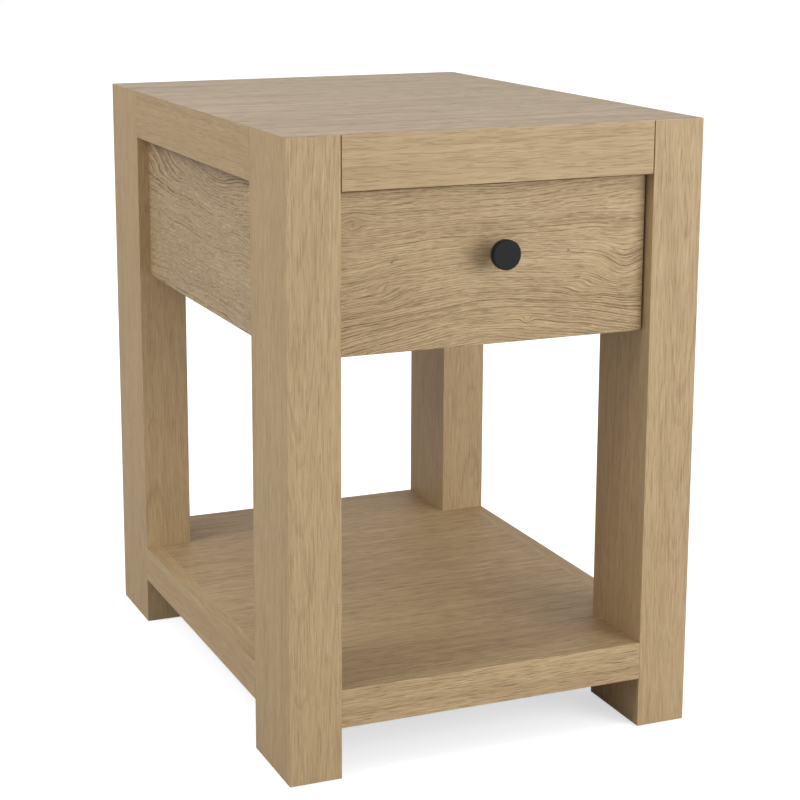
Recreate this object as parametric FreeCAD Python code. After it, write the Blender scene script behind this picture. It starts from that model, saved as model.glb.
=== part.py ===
import FreeCAD
import Part
import math
import os
from FreeCAD import Vector

# Nightstand with one inset drawer over an open shelf.
# Units are millimetres. +X is the user's right, +Y points to the back, +Z is up.
# The origin is on the floor, under the centre of the overall box, knob included.

# ---- overall sizes -------------------------------------------------------------------
WIDTH = 424.0
DEPTH = 568.0  # carcass only: the knob stands out of it
HEIGHT = 610.0

# ---- frame ---------------------------------------------------------------------------
LEG_WIDTH = 52.5
LEG_DEPTH = 96.5
TOP_THICKNESS = 51.0  # rails and surface veneer together
RAIL_THICKNESS = 22.0
VENEER_THICKNESS = 0.6
CORE_THICKNESS = 18.0
ARRIS = 0.6  # rounding of the long edges
VENEER_ARRIS = 0.4
RAIL_REVEAL = 0.8  # open line between the front and back rails and their legs

# ---- shelf ---------------------------------------------------------------------------
SHELF_HEIGHT = 89.0  # floor to the shelf's upper face
SHELF_THICKNESS = 38.0
LIPPING_WIDTH = 17.5

# ---- recessed panels around the drawer -------------------------------------------------
PANEL_HEIGHT = 154.5
PANEL_THICKNESS = 18.0
PANEL_RECESS = 13.0
BATTEN_HEIGHT = 60.0
BATTEN_SCREW_EDGE = 8.0  # edge of a batten to the middle of its screws
CLEAT = 18.0  # square section of the cleats that hold the top
CLEAT_UP_MARGIN = 45.0  # end of a cleat's run to its first screw into the top
CLEAT_OUT_MARGIN = 72.0  # end of a cleat's run to its first screw into the rail

# ---- drawer --------------------------------------------------------------------------
FRONT_HEIGHT = 151.5
FRONT_THICKNESS = 18.0
FRONT_RECESS = 12.0
FRONT_SIDE_GAP = 2.2
FRONT_TOP_GAP = 2.0
FRONT_ARRIS = 0.8
BOX_HEIGHT = 120.0
BOARD = 12.0  # thickness of the drawer box boards
BOTTOM_THICKNESS = 6.0
BOTTOM_RAISE = 10.0  # underside of the box boards to the underside of the bottom
GROOVE_DEPTH = 6.0
TAILS = 4  # dovetails at each corner of the box
TAIL_SLOPE = 10.0  # degrees
TAIL_SHARE = 0.28  # half of a tail's narrow end, as a share of the pitch
BOX_OVERRUN = 4.0  # box length beyond the slides
FRONT_SCREW_MARGIN = 34.0  # inside corner of the box to a screw that holds the front

# ---- knob ----------------------------------------------------------------------------
KNOB_DIAMETER = 28.5
KNOB_CAP = 7.0
KNOB_PROJECTION = 24.0
KNOB_NECK = 10.0
KNOB_EDGE = 0.7
KNOB_ABOVE_FRONT = 88.0  # bottom edge of the drawer front to the knob's axis
KNOB_FLARE = 2.5  # radius of the hollow between the neck and the cap
KNOB_SCREW = 4.0
KNOB_SCREW_HEAD = 8.0
KNOB_SCREW_HEAD_HEIGHT = 2.4
KNOB_THREAD_DEPTH = 12.0

# ---- ball slides -----------------------------------------------------------------------
SLIDE_STEP = 50.0  # the slides are made in lengths of this step
SLIDE_BACK_ROOM = 30.0  # least room from the slides to the back panel
SLIDE_HEIGHT = 45.0
SLIDE_WIDTH = 12.7
SLIDE_SETBACK = 2.0  # behind the back face of the drawer front
STEEL = 1.2
LIP = 1.5  # turned edge that keeps the balls in
OUTER_BALL = 1.98  # radius
INNER_BALL = 1.60  # radius
BALL_PLAY = 0.17  # ball to raceway
CAGE_STRIP = 0.8
CAGE_WEB = 0.45
MEMBER_GAP = 0.3
BALLS_PER_ROW = 8
CAGE_SPARE = 20.0  # how much shorter a cage is than half of the slide
CAGE_END = 4.6  # end of a cage to its last ball
BUMPER = 4.0
SLIDE_SCREW_MARGIN = 45.0  # end of an inner member to its screws
BATTEN_SLIDE_MARGIN = 90.0  # end of the outer member's stretch on the batten to its screws

# ---- fasteners -----------------------------------------------------------------------
DOWEL = 8.0
DOWEL_LENGTH = 40.0
SHELF_DOWEL = 10.0
SCREW = 3.5
SCREW_HEAD = 7.0
SCREW_HEAD_HEIGHT = 2.4
SLIDE_SCREW_HEAD = 6.4
SLIDE_SCREW_HEAD_HEIGHT = 1.4
GLIDE = 20.0
GLIDE_THICKNESS = 4.0
GLIDE_PROUD = 0.8
NAIL = 2.0
NAIL_LENGTH = 12.0
HOLE_PLAY = 0.1  # radial, round a dowel or a screw
END_PLAY = 0.2  # beyond the point of a dowel or a screw
SLIP = 0.15  # each side, round a board in a groove or a socket
BITE = 0.7  # share of a board's thickness that a screw's point goes into
DOWEL_EDGE = 0.28  # place of a dowel across a joint, as a share of the joint
PANEL_DOWEL_MARGIN = 16.0
BATTEN_END_MARGIN = 40.0

# ---- derived places ------------------------------------------------------------------
KNOB_PROUD = KNOB_PROJECTION - FRONT_RECESS
FRONT = -(DEPTH - KNOB_PROUD) / 2
BACK = FRONT + DEPTH
HALF = WIDTH / 2
OPENING = HALF - LEG_WIDTH  # half of the clear width between the legs
LEG_BACK = FRONT + LEG_DEPTH  # back face of the front legs
LEG_FRONT = BACK - LEG_DEPTH  # front face of the back legs
UNDER_VENEER = HEIGHT - VENEER_THICKNESS
RAIL_BOTTOM = HEIGHT - TOP_THICKNESS
CORE_BOTTOM = UNDER_VENEER - CORE_THICKNESS
SHELF_BOTTOM = SHELF_HEIGHT - SHELF_THICKNESS
PANEL_BOTTOM = RAIL_BOTTOM - PANEL_HEIGHT
PANEL_FACE = HALF - PANEL_RECESS
PANEL_INSIDE = PANEL_FACE - PANEL_THICKNESS

FRONT_FACE = FRONT + FRONT_RECESS
FRONT_BACK = FRONT_FACE + FRONT_THICKNESS
FRONT_TOP = RAIL_BOTTOM - FRONT_TOP_GAP
FRONT_BOTTOM = FRONT_TOP - FRONT_HEIGHT
SLIDE_Z = FRONT_BOTTOM + FRONT_HEIGHT / 2
SLIDE_START = FRONT_BACK + SLIDE_SETBACK
BACK_PANEL_INSIDE = BACK - PANEL_RECESS - PANEL_THICKNESS
SLIDE_ROOM = BACK_PANEL_INSIDE - SLIDE_START - SLIDE_BACK_ROOM
SLIDE_LENGTH = SLIDE_STEP * math.floor(SLIDE_ROOM / SLIDE_STEP)
SLIDE_END = SLIDE_START + SLIDE_LENGTH
BOX_BOTTOM = SLIDE_Z - BOX_HEIGHT / 2
BOX_TOP = SLIDE_Z + BOX_HEIGHT / 2
BOX_HALF = OPENING - SLIDE_WIDTH
BOX_INSIDE = BOX_HALF - BOARD
BOX_BACK = FRONT_BACK + SLIDE_LENGTH + BOX_OVERRUN
KNOB_Z = FRONT_BOTTOM + KNOB_ABOVE_FRONT
SIDES = {"left": -1, "right": 1}
ENDS = {"front": -1, "back": 1}

nodes = {}


# ---- helpers -------------------------------------------------------------------------
def block(x, y, z):
    """A box between two bounds on each axis, given in any order."""
    (x0, x1), (y0, y1), (z0, z1) = sorted(x), sorted(y), sorted(z)
    return Part.makeBox(x1 - x0, y1 - y0, z1 - z0, Vector(x0, y0, z0))


def rod(start, direction, radius, length):
    return Part.makeCylinder(radius, length, Vector(*start), Vector(*direction))


def prism(points, direction):
    """A flat outline pushed along a direction."""
    outline = [Vector(*p) for p in points]
    return Part.Face(Part.makePolygon(outline + outline[:1])).extrude(Vector(*direction))


def fuse(shapes):
    whole = shapes[0].multiFuse(shapes[1:]) if len(shapes) > 1 else shapes[0]
    return whole.removeSplitter()


def ease(shape, radius, axis, keep=lambda middle: True):
    """Rounds the straight edges that run along an axis and whose middle passes a test."""
    chosen = []
    for edge in shape.Edges:
        run = edge.Vertexes[-1].Point - edge.Vertexes[0].Point
        if run.Length > 0 and abs(run[axis]) > 0.999 * run.Length:
            if keep(edge.CenterOfMass):
                chosen.append(edge)
    return shape.makeFillet(radius, chosen)


def near(a, b):
    return abs(a - b) < 0.01


def cut(names, tool):
    for name in names:
        nodes[name] = nodes[name].cut(tool)


def add(name, shapes):
    """Adds loose solids to a node, which may hold some already."""
    nodes[name] = Part.Compound(nodes[name].Solids + shapes if name in nodes else shapes)


def between(low, high, count, margin):
    """Evenly spaced places from low to high, a margin inside each end."""
    step = (high - low - 2 * margin) / (count - 1)
    return [low + margin + i * step for i in range(count)]


def dowel(group, middle, direction, diameter, pieces):
    """A dowel with its middle on the joint, in a hole that is deeper at both ends."""
    way = Vector(*direction)
    start = Vector(*middle) - way * (DOWEL_LENGTH / 2)
    peg = rod(start, way, diameter / 2, DOWEL_LENGTH)
    hole_start = start - way * END_PLAY
    cut(pieces, rod(hole_start, way, diameter / 2 + HOLE_PLAY, DOWEL_LENGTH + 2 * END_PLAY))
    add(group, [peg])


def flat_screw(group, head, direction, length, pieces):
    """A countersunk screw, its head flush with the face at head, driven along direction."""
    way = Vector(*direction)
    point = Vector(*head)
    r_head = SCREW_HEAD / 2
    r_shank = SCREW / 2
    cone = Part.makeCone(r_head, r_shank, SCREW_HEAD_HEIGHT, point, way)
    shank = rod(point, way, r_shank, length)
    wide = Part.makeCone(r_head + HOLE_PLAY, r_shank + HOLE_PLAY, SCREW_HEAD_HEIGHT, point, way)
    hole = rod(point, way, r_shank + HOLE_PLAY, length + END_PLAY)
    cut(pieces, fuse([wide, hole]))
    add(group, [fuse([cone, shank])])


def pan_screw(group, head, direction, length, pieces):
    """A low round-headed screw, the underside of its head on the face at head."""
    way = Vector(*direction)
    point = Vector(*head)
    top = rod(point, way * -1, SLIDE_SCREW_HEAD / 2, SLIDE_SCREW_HEAD_HEIGHT)
    shank = rod(point, way, SCREW / 2, length)
    cut(pieces, rod(point, way, SCREW / 2 + HOLE_PLAY, length + END_PLAY))
    add(group, [fuse([top, shank])])


# ---- frame ---------------------------------------------------------------------------
def leg_place(side, end):
    """The x and y ranges of a leg."""
    x = (SIDES[side] * OPENING, SIDES[side] * HALF)
    y = (FRONT, LEG_BACK) if end == "front" else (LEG_FRONT, BACK)
    return x, y


def legs():
    for end in ENDS:
        for side in SIDES:
            x, y = leg_place(side, end)
            leg = block(x, y, (GLIDE_PROUD, UNDER_VENEER))
            leg = ease(leg, ARRIS, 2)
            nodes[f"leg_{end}_{side}"] = leg


def glide(x, y, play):
    """A disc on a nail, or with some play the seat for one."""
    foot = (x, y, 0)
    disc = rod(foot, (0, 0, 1), GLIDE / 2 + play, GLIDE_THICKNESS)
    nail = rod(foot, (0, 0, 1), NAIL / 2 + play, GLIDE_THICKNESS + NAIL_LENGTH + play)
    return fuse([disc, nail])


def glides():
    """Two nail-on glides, let into the foot of each leg."""
    for end in ENDS:
        for side in SIDES:
            x, y = leg_place(side, end)
            x_mid = sum(x) / 2
            y_mid = sum(y) / 2
            for y_glide in (y_mid - LEG_DEPTH / 4, y_mid + LEG_DEPTH / 4):
                add("floor_glides", [glide(x_mid, y_glide, 0)])
                cut([f"leg_{end}_{side}"], glide(x_mid, y_glide, HOLE_PLAY))


def top_rails():
    for end, way in ENDS.items():
        outer = FRONT if end == "front" else BACK
        x_end = OPENING - RAIL_REVEAL
        rail = block((-x_end, x_end), (outer, outer - way * RAIL_THICKNESS), (RAIL_BOTTOM, UNDER_VENEER))
        rail = ease(rail, ARRIS, 0, lambda m: near(m.z, RAIL_BOTTOM))
        rail = ease(rail, ARRIS, 2, lambda m, y=outer: near(m.y, y))
        nodes[f"top_rail_{end}"] = rail
    for side, way in SIDES.items():
        x = (way * HALF, way * (HALF - RAIL_THICKNESS))
        rail = block(x, (LEG_BACK, LEG_FRONT), (RAIL_BOTTOM, UNDER_VENEER))
        nodes[f"top_rail_{side}"] = ease(rail, ARRIS, 1, lambda m: near(m.z, RAIL_BOTTOM))


def rail_dowels():
    for z in between(RAIL_BOTTOM, HEIGHT, 2, TOP_THICKNESS * DOWEL_EDGE):
        for end, y_way in ENDS.items():
            y_rail = (FRONT if end == "front" else BACK) - y_way * RAIL_THICKNESS / 2
            y_joint = LEG_BACK if end == "front" else LEG_FRONT
            for side, x_way in SIDES.items():
                leg = f"leg_{end}_{side}"
                dowel("rail_dowels", (x_way * OPENING, y_rail, z), (x_way, 0, 0), DOWEL,
                      [leg, f"top_rail_{end}"])
                x_rail = x_way * (HALF - RAIL_THICKNESS / 2)
                dowel("rail_dowels", (x_rail, y_joint, z), (0, y_way, 0), DOWEL,
                      [leg, f"top_rail_{side}"])


def top_surface():
    """The board inside the rails, notched round the legs, and the veneer over everything."""
    x_core = HALF - RAIL_THICKNESS
    core = block((-x_core, x_core), (FRONT + RAIL_THICKNESS, BACK - RAIL_THICKNESS),
                 (CORE_BOTTOM, UNDER_VENEER))
    for end in ENDS:
        for side in SIDES:
            x, y = leg_place(side, end)
            core = core.cut(block(x, y, (CORE_BOTTOM, UNDER_VENEER)))
    nodes["top_core"] = core
    sheet = block((-HALF, HALF), (FRONT, BACK), (UNDER_VENEER, HEIGHT))
    sheet = ease(sheet, ARRIS, 2)
    rim = [e for e in sheet.Edges if near(e.CenterOfMass.z, HEIGHT)]
    nodes["top_veneer"] = sheet.makeFillet(VENEER_ARRIS, rim)


def cleats():
    """Square cleats under the top board, screwed to it and to the rails."""
    z = (CORE_BOTTOM - CLEAT, CORE_BOTTOM)
    z_mid = sum(z) / 2
    for end, way in ENDS.items():
        rail_face = (FRONT if end == "front" else BACK) - way * RAIL_THICKNESS
        name = f"top_cleat_{end}"
        inner = rail_face - way * CLEAT
        nodes[name] = block((-OPENING + CLEAT, OPENING - CLEAT), (rail_face, inner), z)
        for x in between(-OPENING, OPENING, 3, CLEAT_UP_MARGIN):
            flat_screw("cleat_screws", (x, rail_face - way * CLEAT / 2, z[0]), (0, 0, 1),
                       CLEAT + CORE_THICKNESS * BITE, [name, "top_core"])
        for x in between(-OPENING, OPENING, 2, CLEAT_OUT_MARGIN):
            flat_screw("cleat_screws", (x, inner, z_mid), (0, way, 0),
                       CLEAT + RAIL_THICKNESS * BITE, [name, f"top_rail_{end}"])
    for side, way in SIDES.items():
        rail_face = way * (HALF - RAIL_THICKNESS)
        name = f"top_cleat_{side}"
        inner = rail_face - way * CLEAT
        nodes[name] = block((rail_face, inner), (LEG_BACK + CLEAT, LEG_FRONT - CLEAT), z)
        for y in between(LEG_BACK, LEG_FRONT, 3, CLEAT_UP_MARGIN):
            flat_screw("cleat_screws", (rail_face - way * CLEAT / 2, y, z[0]), (0, 0, 1),
                       CLEAT + CORE_THICKNESS * BITE, [name, "top_core"])
        for y in between(LEG_BACK, LEG_FRONT, 2, CLEAT_OUT_MARGIN):
            flat_screw("cleat_screws", (inner, y, z_mid), (way, 0, 0),
                       CLEAT + RAIL_THICKNESS * BITE, [name, f"top_rail_{side}"])


# ---- shelf ---------------------------------------------------------------------------
def shelf():
    z = (SHELF_BOTTOM, SHELF_HEIGHT)
    x_board = HALF - LIPPING_WIDTH
    board = block((-x_board, x_board), (FRONT, BACK), z)
    for end in ENDS:
        for side in SIDES:
            x, y = leg_place(side, end)
            board = board.cut(block(x, y, z))
    outer = (FRONT, BACK)
    board = ease(board, ARRIS, 0, lambda m: any(near(m.y, y) for y in outer))
    nodes["shelf_board"] = board
    for side, way in SIDES.items():
        lipping = block((way * x_board, way * HALF), (LEG_BACK, LEG_FRONT), z)
        lipping = ease(lipping, ARRIS, 1, lambda m, w=way: near(m.x, w * HALF))
        nodes[f"shelf_lipping_{side}"] = lipping


def shelf_dowels():
    z = (SHELF_BOTTOM + SHELF_HEIGHT) / 2
    for end in ENDS:
        for side, way in SIDES.items():
            y = leg_place(side, end)[1]
            for y_dowel in between(min(y), max(y), 2, LEG_DEPTH * DOWEL_EDGE):
                dowel("shelf_dowels", (way * OPENING, y_dowel, z), (way, 0, 0), SHELF_DOWEL,
                      [f"leg_{end}_{side}", "shelf_board"])


# ---- recessed panels and slide supports ------------------------------------------------
def panels():
    z = (PANEL_BOTTOM, RAIL_BOTTOM)
    for side, way in SIDES.items():
        panel = block((way * PANEL_FACE, way * PANEL_INSIDE), (LEG_BACK, LEG_FRONT), z)
        nodes[f"side_panel_{side}"] = ease(panel, ARRIS, 1, lambda m: near(m.z, PANEL_BOTTOM))
    back = block((-OPENING, OPENING), (BACK_PANEL_INSIDE, BACK - PANEL_RECESS), z)
    nodes["back_panel"] = ease(back, ARRIS, 0, lambda m: near(m.z, PANEL_BOTTOM))


def panel_dowels():
    heights = between(PANEL_BOTTOM, RAIL_BOTTOM, 3, PANEL_DOWEL_MARGIN)
    for z in heights:
        for side, way in SIDES.items():
            x_mid = way * (PANEL_FACE + PANEL_INSIDE) / 2
            for end, y_way in ENDS.items():
                y_joint = LEG_BACK if end == "front" else LEG_FRONT
                dowel("panel_dowels", (x_mid, y_joint, z), (0, y_way, 0), DOWEL,
                      [f"leg_{end}_{side}", f"side_panel_{side}"])
            y_mid = BACK_PANEL_INSIDE + PANEL_THICKNESS / 2
            dowel("panel_dowels", (way * OPENING, y_mid, z), (way, 0, 0), DOWEL,
                  [f"leg_back_{side}", "back_panel"])


def battens():
    """Hardwood battens behind the side panels, level with the legs, that carry the slides."""
    z = (SLIDE_Z - BATTEN_HEIGHT / 2, SLIDE_Z + BATTEN_HEIGHT / 2)
    for side, way in SIDES.items():
        name = f"slide_batten_{side}"
        nodes[name] = block((way * OPENING, way * PANEL_INSIDE), (LEG_BACK, LEG_FRONT), z)
        reach = PANEL_INSIDE - OPENING + PANEL_THICKNESS * BITE
        for y in between(LEG_BACK, LEG_FRONT, 3, BATTEN_END_MARGIN):
            for z_screw in between(z[0], z[1], 2, BATTEN_SCREW_EDGE):
                flat_screw("batten_screws", (way * OPENING, y, z_screw), (way, 0, 0), reach,
                           [name, f"side_panel_{side}"])


# ---- drawer --------------------------------------------------------------------------
def tails(side, end, play=0.0):
    """The dovetails on one corner of the box, widening towards the end of the side board."""
    way = SIDES[side]
    tip = FRONT_BACK if end == "front" else BOX_BACK
    root = tip - ENDS[end] * BOARD
    pitch = BOX_HEIGHT / TAILS
    narrow = pitch * TAIL_SHARE + play
    wide = narrow + BOARD * math.tan(math.radians(TAIL_SLOPE))
    found = []
    for i in range(TAILS):
        z = BOX_BOTTOM + (i + 0.5) * pitch
        outline = [(root, z - narrow), (tip, z - wide), (tip, z + wide), (root, z + narrow)]
        points = [(way * (BOX_INSIDE - play), y, h) for y, h in outline]
        found.append(prism(points, (way * (BOARD + play), 0, 0)))
    return found


def drawer_box():
    z = (BOX_BOTTOM, BOX_TOP)
    for side, way in SIDES.items():
        x = (way * BOX_INSIDE, way * BOX_HALF)
        body = block(x, (FRONT_BACK + BOARD, BOX_BACK - BOARD), z)
        nodes[f"drawer_side_{side}"] = fuse([body] + tails(side, "front") + tails(side, "back"))
    for end in ENDS:
        tip = FRONT_BACK if end == "front" else BOX_BACK
        board = block((-BOX_HALF, BOX_HALF), (tip, tip - ENDS[end] * BOARD), z)
        for side in SIDES:
            board = board.cut(Part.Compound(tails(side, end, SLIP)))
        nodes["drawer_box_front" if end == "front" else "drawer_back"] = board


def drawer_bottom():
    z = (BOX_BOTTOM + BOTTOM_RAISE, BOX_BOTTOM + BOTTOM_RAISE + BOTTOM_THICKNESS)

    def sheet(reach, thicker):
        x = BOX_INSIDE + reach
        y = (FRONT_BACK + BOARD - reach, BOX_BACK - BOARD + reach)
        return block((-x, x), y, (z[0] - thicker, z[1] + thicker))

    boards = ["drawer_side_left", "drawer_side_right", "drawer_box_front", "drawer_back"]
    cut(boards, sheet(GROOVE_DEPTH, SLIP))
    nodes["drawer_bottom"] = sheet(GROOVE_DEPTH - 2 * SLIP, 0)


def drawer_front():
    x = OPENING - FRONT_SIDE_GAP
    face = block((-x, x), (FRONT_FACE, FRONT_BACK), (FRONT_BOTTOM, FRONT_TOP))
    rim = [e for e in face.Edges if near(e.CenterOfMass.y, FRONT_FACE)]
    nodes["drawer_front"] = face.makeFillet(FRONT_ARRIS, rim)
    inner = FRONT_BACK + BOARD
    reach = BOARD + FRONT_THICKNESS * BITE
    for x_screw in between(-BOX_INSIDE, BOX_INSIDE, 2, FRONT_SCREW_MARGIN):
        for z_screw in between(BOX_BOTTOM, BOX_TOP, 2, FRONT_SCREW_MARGIN):
            flat_screw("drawer_front_screws", (x_screw, inner, z_screw), (0, -1, 0), reach,
                       ["drawer_box_front", "drawer_front"])


def knob():
    """A turned knob: a flat disc that runs into a straight neck through a hollow."""
    r_cap = KNOB_DIAMETER / 2
    r_neck = KNOB_NECK / 2
    under = KNOB_PROJECTION - KNOB_CAP

    def point(r, out):
        return Vector(r, FRONT_FACE - out, KNOB_Z)

    lean = KNOB_FLARE * (1 - math.sqrt(0.5))
    hollow = Part.Arc(point(r_neck, under - KNOB_FLARE), point(r_neck + lean, under - lean),
                      point(r_neck + KNOB_FLARE, under)).toShape()
    before = [(r_neck + KNOB_FLARE, under), (r_cap - KNOB_EDGE, under), (r_cap, under + KNOB_EDGE),
              (r_cap, KNOB_PROJECTION - KNOB_EDGE), (r_cap - KNOB_EDGE, KNOB_PROJECTION),
              (0, KNOB_PROJECTION), (0, 0), (r_neck, 0), (r_neck, under - KNOB_FLARE)]
    rest = Part.makePolygon([point(r, out) for r, out in before])
    profile = Part.Face(Part.Wire([hollow] + rest.Edges))
    axis = Vector(0, FRONT_FACE, KNOB_Z)
    r_screw = KNOB_SCREW / 2
    reach = FRONT_THICKNESS + BOARD
    head = (0, FRONT_BACK + BOARD, KNOB_Z)
    nodes["knob"] = profile.revolve(axis, Vector(0, 1, 0), 360)
    cut(["knob", "drawer_front", "drawer_box_front"],
        rod(head, (0, -1, 0), r_screw + HOLE_PLAY, reach + KNOB_THREAD_DEPTH + END_PLAY))
    shank = rod(head, (0, -1, 0), r_screw, reach + KNOB_THREAD_DEPTH)
    cap = rod(head, (0, 1, 0), KNOB_SCREW_HEAD / 2, KNOB_SCREW_HEAD_HEIGHT)
    nodes["knob_screw"] = fuse([shank, cap])


# ---- ball slides -----------------------------------------------------------------------
# Each slide is drawn on its section: u runs from the cabinet side towards the drawer,
# and h runs up and down from the slide's middle.
OUTER_INSIDE = SLIDE_HEIGHT / 2 - STEEL
OUTER_BALL_H = OUTER_INSIDE - BALL_PLAY - OUTER_BALL
MIDDLE_TOP = OUTER_BALL_H - OUTER_BALL - BALL_PLAY
MIDDLE_INSIDE = MIDDLE_TOP - STEEL
INNER_BALL_H = MIDDLE_INSIDE - BALL_PLAY - INNER_BALL
INNER_TOP = INNER_BALL_H - INNER_BALL - BALL_PLAY
OUTER_CAGE_U = STEEL + SLIDE_SCREW_HEAD_HEIGHT + MEMBER_GAP
MIDDLE_U = OUTER_CAGE_U + CAGE_WEB + MEMBER_GAP
INNER_CAGE_U = MIDDLE_U + STEEL + MEMBER_GAP
INNER_U = INNER_CAGE_U + CAGE_WEB + MEMBER_GAP
MIDDLE_END_U = SLIDE_WIDTH - STEEL - MEMBER_GAP
OUTER_END_U = MIDDLE_END_U - STEEL / 2
OUTER_BALL_U = (MIDDLE_U + OUTER_END_U - STEEL) / 2
INNER_BALL_U = (INNER_U + MIDDLE_END_U - STEEL) / 2


def section_block(side, u, y, h):
    """A box on the slide's section, on one side of the cabinet."""
    way = SIDES[side]
    x = [way * (OPENING - value) for value in u]
    return block(x, y, [SLIDE_Z + value for value in h])


def channel(side, y, web_u, end_u, top, lip):
    """A steel channel: a web, two flanges, and lips turned in at the flanges' ends.
    web_u is the web's outer face, and the flanges run from it to end_u."""
    inward = 1 if end_u > web_u else -1
    parts = [section_block(side, (web_u, web_u + inward * STEEL), y, (-top, top))]
    for way in (-1, 1):
        parts.append(section_block(side, (web_u, end_u), y, (way * top, way * (top - STEEL))))
        if lip:
            lip_u = (end_u, end_u - inward * STEEL)
            parts.append(section_block(side, lip_u, y, (way * top, way * (top - STEEL - lip))))
    return fuse(parts)


def cage(side, y, web_u, end_u, ball_h, ball_u, ball_r):
    """A ball retainer: a thin channel whose two flanges are pierced for the balls."""
    half_strip = CAGE_STRIP / 2
    parts = [section_block(side, (web_u, web_u + CAGE_WEB), y, (-ball_h, ball_h))]
    for way in (-1, 1):
        strip = (way * (ball_h + half_strip), way * (ball_h - half_strip))
        parts.append(section_block(side, (web_u, end_u), y, strip))
    frame = fuse(parts)
    balls = []
    x = SIDES[side] * (OPENING - ball_u)
    for way in (-1, 1):
        for y_ball in between(min(y), max(y), BALLS_PER_ROW, CAGE_END):
            centre = Vector(x, y_ball, SLIDE_Z + way * ball_h)
            seat = centre - Vector(0, 0, CAGE_STRIP)
            frame = frame.cut(rod(seat, (0, 0, 1), ball_r + HOLE_PLAY, 2 * CAGE_STRIP))
            balls.append(Part.makeSphere(ball_r, centre))
    return frame, balls


def slides():
    member_end = SLIDE_END - BUMPER - MEMBER_GAP
    middle_start = SLIDE_START + MEMBER_GAP
    cage_start = SLIDE_START + SLIDE_LENGTH / 4 + CAGE_SPARE / 2
    cage_y = (cage_start, cage_start + SLIDE_LENGTH / 2 - CAGE_SPARE)
    for side, way in SIDES.items():
        nodes[f"slide_outer_{side}"] = channel(
            side, (SLIDE_START, SLIDE_END), 0, OUTER_END_U, SLIDE_HEIGHT / 2, LIP)
        nodes[f"slide_middle_{side}"] = channel(
            side, (middle_start, member_end), MIDDLE_U, MIDDLE_END_U, MIDDLE_TOP, LIP)
        nodes[f"slide_inner_{side}"] = channel(
            side, (SLIDE_START, member_end), SLIDE_WIDTH, INNER_U, INNER_TOP, 0)
        outer_end = OUTER_END_U - STEEL - MEMBER_GAP
        frame, balls = cage(side, cage_y, OUTER_CAGE_U, outer_end, OUTER_BALL_H,
                            OUTER_BALL_U, OUTER_BALL)
        nodes[f"outer_cage_{side}"] = frame
        nodes[f"outer_balls_{side}"] = Part.Compound(balls)
        inner_end = MIDDLE_END_U - STEEL - MEMBER_GAP
        frame, balls = cage(side, cage_y, INNER_CAGE_U, inner_end, INNER_BALL_H,
                            INNER_BALL_U, INNER_BALL)
        nodes[f"inner_cage_{side}"] = frame
        nodes[f"inner_balls_{side}"] = Part.Compound(balls)
        nodes[f"slide_bumper_{side}"] = section_block(
            side, (STEEL, OUTER_END_U), (SLIDE_END - BUMPER, SLIDE_END), (-MIDDLE_TOP, MIDDLE_TOP))
        slide_screws(side, way)


def slide_screws(side, way):
    """Screws through the outer member into the leg and batten, and the inner into the box."""
    x_cabinet = way * (OPENING - STEEL)
    reach = STEEL + (PANEL_INSIDE - OPENING) * BITE
    y_leg = (SLIDE_START + LEG_BACK) / 2
    outer = f"slide_outer_{side}"
    pan_screw("cabinet_slide_screws", (x_cabinet, y_leg, SLIDE_Z), (way, 0, 0), reach,
              [outer, f"leg_front_{side}"])
    on_batten = min(SLIDE_END, LEG_FRONT)
    for y in between(LEG_BACK, on_batten, 2, BATTEN_SLIDE_MARGIN):
        pan_screw("cabinet_slide_screws", (x_cabinet, y, SLIDE_Z), (way, 0, 0), reach,
                  [outer, f"slide_batten_{side}"])
    x_drawer = way * (BOX_HALF + STEEL)
    for y in between(SLIDE_START, SLIDE_END, 3, SLIDE_SCREW_MARGIN):
        pan_screw("drawer_slide_screws", (x_drawer, y, SLIDE_Z), (-way, 0, 0),
                  STEEL + BOARD * BITE, [f"slide_inner_{side}", f"drawer_side_{side}"])


# ---- build and export ------------------------------------------------------------------
def main():
    legs()
    glides()
    top_rails()
    rail_dowels()
    top_surface()
    cleats()
    shelf()
    shelf_dowels()
    panels()
    panel_dowels()
    battens()
    drawer_box()
    drawer_bottom()
    drawer_front()
    knob()
    slides()
    os.makedirs("parts", exist_ok=True)
    for name, shape in nodes.items():
        shape.exportStep(f"parts/{name}.step")
    print(len(nodes), "nodes,", sum(len(s.Solids) for s in nodes.values()), "solids")


main()
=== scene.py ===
import math

import bpy
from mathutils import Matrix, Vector


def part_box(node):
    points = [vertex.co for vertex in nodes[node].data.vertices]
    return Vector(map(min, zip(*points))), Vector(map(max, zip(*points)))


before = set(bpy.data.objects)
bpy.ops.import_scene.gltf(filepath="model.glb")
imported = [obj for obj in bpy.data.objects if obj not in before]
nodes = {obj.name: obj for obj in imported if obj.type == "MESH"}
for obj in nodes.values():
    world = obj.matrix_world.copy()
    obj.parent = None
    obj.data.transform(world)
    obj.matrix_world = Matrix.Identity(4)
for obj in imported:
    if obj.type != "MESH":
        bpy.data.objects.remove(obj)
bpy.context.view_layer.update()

# ---- camera and light --------------------------------------------------------------------
CAMERA_PLACE = Vector((-0.797, -1.881, 0.808))
CAMERA_TURN = math.radians(22.28)  # from +Y towards +X
CAMERA_TILT = math.radians(11.94)  # below the horizon
LENS = 88.37
SENSOR = 36.0
SHIFT_X = 0.0486
SHIFT_Y = -0.100
KEY_PLACE = (1.65, -2.6, 0.95)
KEY_SIZE = 2.2
KEY_POWER = 57.0
FILL_PLACE = (-2.6, -0.3, 2.4)
FILL_SIZE = 1.6
FILL_POWER = 44.0
SKY_LOW = 0.45  # at the horizon
SKY_HIGH = 0.80  # overhead
LIGHT_AIM = (0.0, 0.0, 0.35)
FLOOR_HALF = 12.0  # half the floor's side
FLOOR_TONE = 0.56  # what the floor gives back to the object
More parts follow.
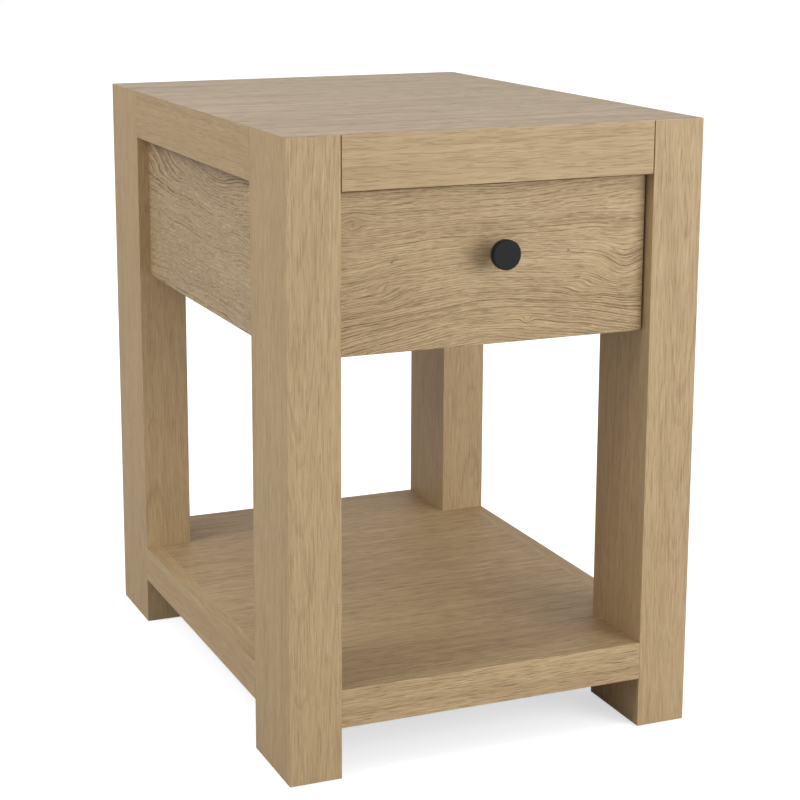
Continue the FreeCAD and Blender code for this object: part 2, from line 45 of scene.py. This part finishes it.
FLOOR_SEEN = 0.85  # what the camera sees of the light and shadow on it
FLOOR_GLOW = (0.565, 0.580, 0.600)  # what the floor itself adds for the camera

# ---- wood: colours are linear, sizes are metres --------------------------------------------
# pale and dark are the early and late wood; ring is the spacing of the growth rings and
# ring_depth how much darker a late ring is; sway and ripple bend the grain slowly and finely,
# and sway_scale is how many bends there are in a metre along and across; lean is how far the
# board is from parallel to the tree, which draws the rings out into flames; fibre, streak, pore,
# fleck and cloud are the strengths of the fine fibres, the wider streaks, the dark pore dashes,
# the pale flecks and the large patches; dash is how many dashes fit along a metre of grain.
OAK = dict(pale=(0.515, 0.374, 0.205), dark=(0.255, 0.150, 0.064), ring=0.0024, ring_depth=0.19,
           lean=0.03, sway=0.003, sway_scale=(3.0, 12.0), ripple=0.0006, fibre=0.52, streak=0.10,
           dash=48.0, pore=0.28, fleck=0.18, cloud=0.12, rough=0.50)
RAIL_OAK = dict(OAK, lean=0.0, fibre=0.38, streak=0.16, pore=0.30)
SHELF_OAK = dict(OAK, lean=0.0, fibre=0.74, streak=0.32, pore=0.66)
# the top's oak is greyer and lighter than the rest: partly the veneer's own tone, partly a painted
# sheen that stands in for the light the top reflects at a low angle
SHEEN_PAINTED_TOP_OAK = dict(SHELF_OAK, pale=(0.508, 0.388, 0.262), dark=(0.348, 0.250, 0.158), ring=0.0060,
               ring_depth=0.50, fibre=0.90, streak=1.10, pore=0.90, fleck=0.20, cloud=0.30,
               rough=0.44)
RUSTIC = dict(OAK, pale=(0.520, 0.378, 0.206), dark=(0.215, 0.128, 0.052), ring=0.0028,
              ring_depth=0.54, lean=0.0, sway=0.008, sway_scale=(8.0, 26.0), ripple=0.0010,
              fibre=0.66, streak=0.22, dash=80.0, pore=0.40, fleck=0.42, cloud=0.20)
CURLY = dict(RUSTIC, pale=(0.505, 0.378, 0.220), dark=(0.205, 0.124, 0.055), ring=0.0042,
             ring_depth=0.44, sway=0.009, ripple=0.0020, fibre=0.60, fleck=0.70)
BEECH = dict(OAK, pale=(0.500, 0.370, 0.235), dark=(0.400, 0.270, 0.155), ring=0.0050,
             ring_depth=0.20, fibre=0.45, pore=0.14, fleck=0.20, cloud=0.16, rough=0.55)
BIRCH = dict(OAK, pale=(0.600, 0.480, 0.330), dark=(0.480, 0.360, 0.220), ring=0.0070,
             ring_depth=0.25, sway=0.010, fibre=0.40, pore=0.06, fleck=0.08, cloud=0.20,
             rough=0.52)
AXES = {"x": 0, "y": 1, "z": 2}

# how many features of each kind fit in a metre: along the grain, then on the other two axes
CLOUD_SCALE = (7.0, 26.0, 26.0)
STREAK_SCALE = (4.0, 110.0, 110.0)
RIPPLE_SCALE = (30.0, 150.0, 150.0)
BREAK_SCALE = (60.0, 620.0, 620.0)  # breaks the rings into dashes
FIBRE_SCALE = (24.0, 980.0, 980.0)
PORES_ACROSS = 1250.0
FLECKS_ACROSS = 1000.0

RING_DARKENS = (0.42, 0.86)  # the shares of a ring over which the late wood sets in
RING_ENDS = (0.90, 1.0)  # and over which it ends
RING_DRIFT = 0.35  # how quickly the spacing and the strength change from ring to ring
RING_WANDER = 1.6  # how many rings the spacing may drift by
RING_STRENGTH = (0.22, 1.0)  # of the faintest and the strongest ring
DASH_STRENGTH = (0.40, 1.25)  # of the faintest and the strongest dash of a ring
PORE_NOISE = (0.56, 0.70)  # the noise over which a pore sets in
FLECK_NOISE = (0.57, 0.71)  # and a fleck
EVEN_SHARE = 0.34  # where a place between the rings lies from pale to dark
PORE_SHADE = 0.55  # of the late wood's colour
FLECK_SHINE = 1.22  # of the early wood's colour
PIN_COLOUR = (0.070, 0.036, 0.018)
PIN_STRENGTH = 0.85
PORE_HOLLOW = 0.00014  # how deep a pore is, in metres
LATE_RISE = 0.25  # how far the late wood stands out, as a share of a pore's depth
FIBRE_RISE = 0.6  # and the fibres
BOLD = 2.4  # how much darker the rings are in the middle of a bold patch


class Graph:
    """Adds nodes to a new material and joins them to its shader."""

    def __init__(self, name):
        self.material = bpy.data.materials.new(name)
        self.material.use_nodes = True
        self.tree = self.material.node_tree
        self.shader = self.tree.nodes["Principled BSDF"]
        self.place = self.node("TexCoord").outputs["Object"]

    def node(self, kind, **settings):
        made = self.tree.nodes.new("ShaderNode" + kind)
        for key, value in settings.items():
            setattr(made, key, value)
        return made

    def feed(self, socket, value):
        if isinstance(value, bpy.types.NodeSocket):
            self.tree.links.new(value, socket)
        else:
            socket.default_value = value

    def feed_colour(self, socket, colour):
        self.feed(socket, colour if isinstance(colour, bpy.types.NodeSocket) else (*colour, 1.0))

    def math(self, operation, a, b=0.0, clamp=False):
        made = self.node("Math", operation=operation, use_clamp=clamp)
        self.feed(made.inputs[0], a)
        self.feed(made.inputs[1], b)
        return made.outputs[0]

    def add(self, a, b):
        return self.math("ADD", a, b)

    def times(self, a, b):
        return self.math("MULTIPLY", a, b)

    def split(self, vector):
        made = self.node("SeparateXYZ")
        self.feed(made.inputs[0], vector)
        return list(made.outputs)

    def join(self, x, y, z):
        made = self.node("CombineXYZ")
        for socket, value in zip(made.inputs, (x, y, z)):
            self.feed(socket, value)
        return made.outputs[0]

    def scaled(self, vector, scale):
        made = self.node("VectorMath", operation="MULTIPLY")
        self.feed(made.inputs[0], vector)
        self.feed(made.inputs[1], scale)
        return made.outputs[0]

    def noise(self, vector, scale, detail=2.0, roughness=0.5):
        """Smooth noise between 0 and 1 whose features are about 1/scale across on each axis."""
        made = self.node("TexNoise", noise_dimensions="3D")
        self.feed(made.inputs["Vector"], self.scaled(vector, scale))
        made.inputs["Scale"].default_value = 1.0
        made.inputs["Detail"].default_value = detail
        made.inputs["Roughness"].default_value = roughness
        return made.outputs["Fac"]

    def span(self, value, low, high, to_low=0.0, to_high=1.0):
        """Goes smoothly from to_low to to_high as the value goes from low to high."""
        made = self.node("MapRange", interpolation_type="SMOOTHSTEP")
        for socket, number in zip(made.inputs, (value, low, high, to_low, to_high)):
            self.feed(socket, number)
        return made.outputs[0]

    def blend(self, factor, a, b):
        """Colour a where the factor is 0 and colour b where it is 1."""
        made = self.node("Mix", data_type="RGBA")
        colour_a, colour_b = made.inputs[6:8]
        self.feed(made.inputs[0], factor)
        self.feed_colour(colour_a, a)
        self.feed_colour(colour_b, b)
        return made.outputs[2]

    def bump(self, height, distance):
        made = self.node("Bump")
        self.feed(made.inputs["Height"], height)
        made.inputs["Distance"].default_value = distance
        made.inputs["Strength"].default_value = 1.0
        self.feed(self.shader.inputs["Normal"], made.outputs[0])

    def finish(self, colour, roughness, **constants):
        """Feeds the shader, where constants are its other sockets by name."""
        self.feed_colour(self.shader.inputs["Base Color"], colour)
        self.feed(self.shader.inputs["Roughness"], roughness)
        for key, value in constants.items():
            self.shader.inputs[key.replace("_", " ")].default_value = value
        return self.material


# ---- wood --------------------------------------------------------------------------------
def bell(g, u, v, middle, size):
    """1 at the middle, falling smoothly to 0 about one size away along the grain and across it."""
    du = g.times(g.add(u, -middle[0]), 1 / size[0])
    dv = g.times(g.add(v, -middle[1]), 1 / size[1])
    squares = g.add(g.times(du, du), g.times(dv, dv))
    return g.math("EXPONENT", g.times(squares, -1.0))


def swing(g, noise, size):
    """Turns noise between 0 and 1 into an offset between about -size and size."""
    return g.times(g.add(noise, -0.5), 2 * size)


def bent_grain(g, look, log, u, v, w, knots, eyes):
    """How far across the tree each place grew, once the grain has bent slowly, swelled round the
    knots, parted round the eyes and rippled finely."""
    slow, quick = look["sway_scale"]
    bend = g.noise(g.join(log, v, w), (slow, quick, quick), detail=1.0)
    grown = g.add(v, swing(g, bend, look["sway"]))
    for k_along, k_across, length, width, push in knots:
        swell = bell(g, u, v, (k_along, k_across), (length, width))
        grown = g.add(grown, g.times(swell, push))
    for e_along, e_across, length, width, spread in eyes:
        swell = bell(g, u, v, (e_along, e_across), (length, width))
        away = g.add(v, -e_across)
        grown = g.add(grown, g.times(g.times(swell, away), -spread))
    ripple = g.noise(g.join(log, grown, w), RIPPLE_SCALE, detail=2.0)
    return g.add(grown, swing(g, ripple, look["ripple"]))


def late_wood(g, look, pith, u, grown, w, flow):
    """The dark part of the growth rings, which are uneven in width and in strength. Each ring
    darkens slowly, ends sharply and breaks into dashes."""
    from_pith_v = g.add(grown, -pith[0])
    from_pith_w = g.add(g.add(w, -pith[1]), g.times(u, look["lean"]))
    squares = g.add(g.times(from_pith_v, from_pith_v), g.times(from_pith_w, from_pith_w))
    radius = g.math("SQRT", squares)
    uneven = g.node("TexNoise", noise_dimensions="1D")
    g.feed(uneven.inputs["W"], g.times(radius, RING_DRIFT / look["ring"]))
    wander = g.times(uneven.outputs["Fac"], RING_WANDER)
    turn = g.add(g.times(radius, 1 / look["ring"]), wander)
    phase = g.math("FRACT", turn)
    late = g.times(g.span(phase, *RING_DARKENS), g.span(phase, *RING_ENDS, 1.0, 0.0))
    late = g.times(late, g.span(uneven.outputs["Fac"], 0.32, 0.62, *RING_STRENGTH))
    breaks = g.noise(flow, BREAK_SCALE, detail=2.0, roughness=0.6)
    return g.times(late, g.span(breaks, 0.30, 0.62, *DASH_STRENGTH))


def wood(name, look, along, face, pith, shift=0.0, tint=1.0, knots=(), eyes=(), bold=(), pins=()):
    """Sawn wood. along is the axis of the grain and face the axis that the show face looks
    along. pith is the tree's centre line, as (across, depth) in metres on the other two axes.
    shift takes the board from another length of the tree, and tint darkens or lightens it.
    knots are (along, across, length, width, push): the grain is pushed aside there.
    eyes are (along, across, length, width, spread): the grain parts round them.
    bold are (along, across, length, width): the rings are darker there.
    pins are small dark knots, as (along, across, radius)."""
    g = Graph(name)
    across = next(axis for axis in AXES if axis not in (along, face))
    parts = g.split(g.place)
    u = parts[AXES[along]]
    v = parts[AXES[across]]
    w = parts[AXES[face]]
    log = g.add(u, shift)
    grown = bent_grain(g, look, log, u, v, w, knots, eyes)
    flow = g.join(log, grown, w)

    strength = 1.0
    for b_along, b_across, length, width in bold:
        patch = bell(g, u, v, (b_along, b_across), (length, width))
        strength = g.add(strength, g.times(patch, BOLD))
    late = g.times(late_wood(g, look, pith, u, grown, w, flow), strength)

    pore_scale = (look["dash"], PORES_ACROSS, PORES_ACROSS)
    fleck_scale = (look["dash"], FLECKS_ACROSS, FLECKS_ACROSS)
    fibre = g.noise(flow, FIBRE_SCALE, detail=3.0, roughness=0.64)
    streak = g.noise(flow, STREAK_SCALE, detail=2.0)
    cloud = g.noise(g.join(log, v, w), CLOUD_SCALE, detail=3.0)
    pore = g.span(g.noise(flow, pore_scale, detail=1.0), *PORE_NOISE)
    fleck = g.span(g.noise(flow, fleck_scale, detail=1.0), *FLECK_NOISE)

    share = g.add(EVEN_SHARE, g.times(late, look["ring_depth"]))
    share = g.add(share, swing(g, fibre, look["fibre"]))
    share = g.add(share, swing(g, streak, look["streak"]))
    share = g.math("ADD", share, swing(g, cloud, look["cloud"]), clamp=True)
    pale = [value * tint for value in look["pale"]]
    dark = [value * tint for value in look["dark"]]
    colour = g.blend(share, pale, dark)
    pore_colour = [value * PORE_SHADE for value in dark]
    fleck_colour = [value * FLECK_SHINE for value in pale]
    colour = g.blend(g.times(pore, look["pore"]), colour, pore_colour)
    colour = g.blend(g.times(fleck, look["fleck"]), colour, fleck_colour)
    for p_along, p_across, p_radius in pins:
        spot = bell(g, u, v, (p_along, p_across), (p_radius * 1.3, p_radius))
        colour = g.blend(g.times(spot, PIN_STRENGTH), colour, PIN_COLOUR)

    height = g.add(g.times(pore, -1.0), g.times(late, LATE_RISE))
    height = g.add(height, g.times(fibre, FIBRE_RISE))
    g.bump(height, PORE_HOLLOW)
    roughness = g.span(fibre, 0.3, 0.7, look["rough"] - 0.05, look["rough"] + 0.07)
    return g.finish(colour, roughness, IOR=1.47)


def dress(node, material):
    """Gives a CAD node its material."""
    for slot in nodes[node].material_slots:
        slot.material = material


def pith_of(node, across_axis, across_share, face_axis, depth):
    """A pith at a share of the node's width, and that deep behind its low face."""
    low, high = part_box(node)
    a = AXES[across_axis]
    f = AXES[face_axis]
    return low[a] + (high[a] - low[a]) * across_share, low[f] + depth


# Each board that can be seen has its own shift and its own pith, so that no two look the same.
def dress_legs():
    for i, (end, depth) in enumerate((("front", 0.060), ("back", -0.060))):
        for j, (side, share) in enumerate((("left", 0.22), ("right", 0.72))):
            node = f"leg_{end}_{side}"
            pith = pith_of(node, "x", share, "y", depth)
            dress(node, wood(node, OAK, "z", "y", pith, shift=1.3 * i + 0.7 * j))


def dress_rails():
    dress("top_rail_front", wood("top_rail_front", RAIL_OAK, "x", "y",
                                 pith_of("top_rail_front", "z", 0.35, "y", 0.13), 3.1))
    dress("top_rail_back", wood("top_rail_back", RAIL_OAK, "x", "y",
                                pith_of("top_rail_back", "z", 0.6, "y", -0.12), 4.6))
    for side, depth, shift in (("left", 0.12, 5.2), ("right", -0.12, 6.4)):
        node = f"top_rail_{side}"
        pith = pith_of(node, "z", 0.4, "x", depth)
        dress(node, wood(node, RAIL_OAK, "y", "x", pith, shift, tint=0.95))
        node = f"shelf_lipping_{side}"
        pith = pith_of(node, "z", 0.5, "x", depth)
        dress(node, wood(node, RAIL_OAK, "y", "x", pith, shift + 2.0))


def dress_shelf_and_top():
    dress("shelf_board", wood("shelf_board", SHELF_OAK, "x", "z",
                              pith_of("shelf_board", "y", 0.35, "z", -0.30), 9.1))
    dress("top_veneer", wood("top_veneer", SHEEN_PAINTED_TOP_OAK, "x", "z",
                             pith_of("top_veneer", "y", 0.45, "z", -0.35), 10.3))
    dress("top_core", wood("top_core", BEECH, "x", "z", (0.0, 0.0), 11.0))
    for side in ("left", "right"):
        for kind in ("top_cleat", "slide_batten"):
            node = f"{kind}_{side}"
            dress(node, wood(node, BEECH, "y", "x", pith_of(node, "z", 0.4, "x", 0.2), 12.0))
    for end in ("front", "back"):
        node = f"top_cleat_{end}"
        dress(node, wood(node, BEECH, "x", "z", pith_of(node, "y", 0.4, "z", 0.2), 13.0))


def at_shares(node, along, across):
    """Gives a function from shares of a node's length and width to a place in metres."""
    low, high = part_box(node)
    a = AXES[along]
    b = AXES[across]
    return lambda s, t: (low[a] + (high[a] - low[a]) * s, low[b] + (high[b] - low[b]) * t)


def dress_drawer_front():
    at = at_shares("drawer_front", "x", "z")
    knots = [
        (*at(0.47, 0.05), 0.130, 0.085, -0.032),
        (*at(0.93, 0.43), 0.021, 0.022, 0.013),
        (*at(1.05, 1.00), 0.100, 0.060, -0.012),
        (*at(0.605, 0.14), 0.006, 0.004, 0.003),
    ]
    eyes = [
        (*at(0.785, 0.32), 0.016, 0.009, 1.15),
        (*at(0.046, 0.81), 0.012, 0.009, 1.10),
        (*at(0.147, 0.40), 0.018, 0.010, 0.85),
        (*at(0.605, 0.14), 0.006, 0.004, 1.20),
    ]
    bold = [
        (*at(0.86, 0.15), 0.085, 0.024),
        (*at(0.00, 0.08), 0.080, 0.024),
        (*at(0.95, 0.50), 0.020, 0.012),
    ]
    pins = [(*at(0.741, 0.553), 0.0010), (*at(0.166, 0.556), 0.0010)]
    low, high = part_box("drawer_front")
    pith = (low.z - 0.15, low.y + 0.04)
    dress("drawer_front", wood("drawer_front", RUSTIC, "x", "y", pith, 14.2, knots=knots,
                               eyes=eyes, bold=bold, pins=pins))


def dress_panels():
    for side, shift in (("left", 15.0), ("right", 16.3)):
        node = f"side_panel_{side}"
        at = at_shares(node, "y", "z")
        low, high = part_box(node)
        knots = [
            (*at(1.05, 1.28), 0.120, 0.062, -0.062),
            (*at(0.35, 1.00), 0.080, 0.040, 0.014),
        ]
        eyes = [
            (*at(0.89, 0.465), 0.016, 0.009, 1.20),
            (*at(0.31, 0.62), 0.020, 0.011, 1.10),
            (*at(0.08, 0.62), 0.024, 0.012, 1.10),
        ]
        bold = [
            (*at(0.90, 0.88), 0.055, 0.036),
            (*at(0.35, 0.90), 0.070, 0.016),
        ]
        pith = (low.z - 0.15, (low.x + high.x) / 2)
        dress(node, wood(node, CURLY, "y", "x", pith, shift, tint=0.97, knots=knots, eyes=eyes,
                         bold=bold))
    low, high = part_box("back_panel")
    dress("back_panel", wood("back_panel", RUSTIC, "x", "y", (low.z - 0.15, low.y), 17.7))


def dress_drawer_box():
    for i, side in enumerate(("left", "right")):
        node = f"drawer_side_{side}"
        dress(node, wood(node, BIRCH, "y", "x", pith_of(node, "z", 0.5, "x", 0.10), 18.0 + i))
    for i, node in enumerate(("drawer_box_front", "drawer_back")):
        dress(node, wood(node, BIRCH, "x", "y", pith_of(node, "z", 0.4, "y", 0.12), 20.0 + i))
    dress("drawer_bottom", wood("drawer_bottom", BIRCH, "x", "z",
                                pith_of("drawer_bottom", "y", 0.6, "z", -0.09), 22.0))
    for node in ("rail_dowels", "shelf_dowels", "panel_dowels"):
        dress(node, wood(node, BEECH, "x", "z", (0.0, 0.0), 23.0))


# ---- metal, rubber and plastic ---------------------------------------------------------------
def black_metal():
    """Satin black powder coat with a fine orange-peel."""
    g = Graph("black_metal")
    grain = g.noise(g.place, (2600.0, 2600.0, 2600.0), detail=2.0)
    wear = g.noise(g.place, (120.0, 120.0, 120.0), detail=3.0)
    colour = g.blend(wear, (0.0080, 0.0084, 0.0092), (0.0120, 0.0125, 0.0136))
    g.bump(grain, 0.00003)
    return g.finish(colour, g.span(wear, 0.3, 0.7, 0.34, 0.42), IOR=1.5, Specular_IOR_Level=0.12)


def plated_steel(name, tone, rough, along=(4.0, 900.0, 900.0)):
    """Bright zinc plate with drawing lines along the part and faint cloudy stains."""
    g = Graph(name)
    lines = g.noise(g.place, along, detail=2.0)
    cloud = g.noise(g.place, (45.0, 45.0, 45.0), detail=4.0)
    dull = [value * 0.82 for value in tone]
    colour = g.blend(g.span(cloud, 0.35, 0.70), tone, dull)
    g.bump(lines, 0.00002)
    return g.finish(colour, g.span(lines, 0.3, 0.7, rough - 0.06, rough + 0.08), Metallic=1.0)


def moulded(name, tone, rough):
    """Rubber or plastic with a fine moulded texture."""
    g = Graph(name)
    grain = g.noise(g.place, (1900.0, 1900.0, 1900.0), detail=2.0)
    colour = g.blend(grain, tone, [value * 1.35 for value in tone])
    g.bump(grain, 0.00004)
    return g.finish(colour, g.span(grain, 0.3, 0.7, rough, rough + 0.1), IOR=1.5)


def dress_hardware():
    dress("knob", black_metal())
    lengthwise = (900.0, 4.0, 900.0)
    member = plated_steel("zinc_steel", (0.60, 0.61, 0.63), 0.34, lengthwise)
    cage = plated_steel("cage_steel", (0.50, 0.51, 0.52), 0.40, lengthwise)
    ball = plated_steel("ball_steel", (0.70, 0.70, 0.71), 0.16, (300.0, 300.0, 300.0))
    screw = plated_steel("screw_steel", (0.62, 0.58, 0.48), 0.36, (700.0, 700.0, 700.0))
    rubber = moulded("bumper_rubber", (0.020, 0.020, 0.021), 0.62)
    for side in ("left", "right"):
        for kind in ("outer", "middle", "inner"):
            dress(f"slide_{kind}_{side}", member)
        for kind in ("outer", "inner"):
            dress(f"{kind}_cage_{side}", cage)
            dress(f"{kind}_balls_{side}", ball)
        dress(f"slide_bumper_{side}", rubber)
    for node in nodes:
        if node.endswith("screws") or node == "knob_screw":
            dress(node, screw)
    dress("floor_glides", moulded("glide_plastic", (0.055, 0.048, 0.042), 0.48))


# ---- studio --------------------------------------------------------------------------------
def make_camera():
    data = bpy.data.cameras.new("camera")
    data.sensor_width = SENSOR
    data.lens = LENS
    data.shift_x = SHIFT_X
    data.shift_y = SHIFT_Y
    camera = bpy.data.objects.new("camera", data)
    bpy.context.scene.collection.objects.link(camera)
    level = math.cos(CAMERA_TILT)
    east = math.sin(CAMERA_TURN) * level
    north = math.cos(CAMERA_TURN) * level
    ahead = Vector((east, north, -math.sin(CAMERA_TILT)))
    camera.location = CAMERA_PLACE
    camera.rotation_euler = ahead.to_track_quat("-Z", "Y").to_euler()
    bpy.context.scene.camera = camera


def make_floor():
    """A white floor that glows for the camera alone, so that shadows on it look faint."""
    half = FLOOR_HALF
    mesh = bpy.data.meshes.new("floor")
    corners = [(-half, -half, 0), (half, -half, 0), (half, half, 0), (-half, half, 0)]
    mesh.from_pydata(corners, [], [(0, 1, 2, 3)])
    floor = bpy.data.objects.new("floor", mesh)
    bpy.context.scene.collection.objects.link(floor)
    g = Graph("paper")
    grain = g.noise(g.place, (700.0, 700.0, 700.0), detail=2.0)
    seen = g.node("LightPath").outputs["Is Camera Ray"]
    colour = g.blend(seen, (FLOOR_TONE,) * 3, (FLOOR_SEEN,) * 3)
    colour = g.blend(g.times(grain, 0.04), colour, (0.0, 0.0, 0.0))
    material = g.finish(colour, 0.9, Specular_IOR_Level=0.0, Emission_Strength=1.0)
    g.feed(g.shader.inputs["Emission Color"], g.blend(seen, (0.0, 0.0, 0.0), FLOOR_GLOW))
    mesh.materials.append(material)


def soft_light(name, place, aim, size, power):
    data = bpy.data.lights.new(name, "AREA")
    data.shape = "DISK"
    data.size = size
    data.energy = power
    light = bpy.data.objects.new(name, data)
    light.location = place
    light.rotation_euler = (Vector(aim) - Vector(place)).to_track_quat("-Z", "Y").to_euler()
    bpy.context.scene.collection.objects.link(light)


def make_light():
    """A plain white backdrop for the camera, a sky that is brighter overhead for the object, and
    two soft lights."""
    world = bpy.data.worlds.new("studio")
    world.use_nodes = True
    tree = world.node_tree
    background = tree.nodes["Background"]
    path = tree.nodes.new("ShaderNodeLightPath")
    place = tree.nodes.new("ShaderNodeTexCoord")
    split = tree.nodes.new("ShaderNodeSeparateXYZ")
    rise = tree.nodes.new("ShaderNodeMapRange")
    for socket, number in zip(rise.inputs[1:5], (-0.1, 0.9, SKY_LOW, SKY_HIGH)):
        socket.default_value = number
    pick = tree.nodes.new("ShaderNodeMix")
    pick.inputs[3].default_value = 1.0
    tree.links.new(place.outputs["Generated"], split.inputs[0])
    tree.links.new(split.outputs[2], rise.inputs[0])
    tree.links.new(path.outputs["Is Camera Ray"], pick.inputs[0])
    tree.links.new(rise.outputs[0], pick.inputs[2])
    tree.links.new(pick.outputs[0], background.inputs["Strength"])
    background.inputs["Color"].default_value = (1.0, 1.0, 1.0, 1.0)
    bpy.context.scene.world = world
    soft_light("key", KEY_PLACE, LIGHT_AIM, KEY_SIZE, KEY_POWER)
    soft_light("fill", FILL_PLACE, LIGHT_AIM, FILL_SIZE, FILL_POWER)
    bpy.context.scene.view_settings.view_transform = "Standard"


dress_legs()
dress_rails()
dress_shelf_and_top()
dress_drawer_front()
dress_panels()
dress_drawer_box()
dress_hardware()
make_camera()
make_floor()
make_light()
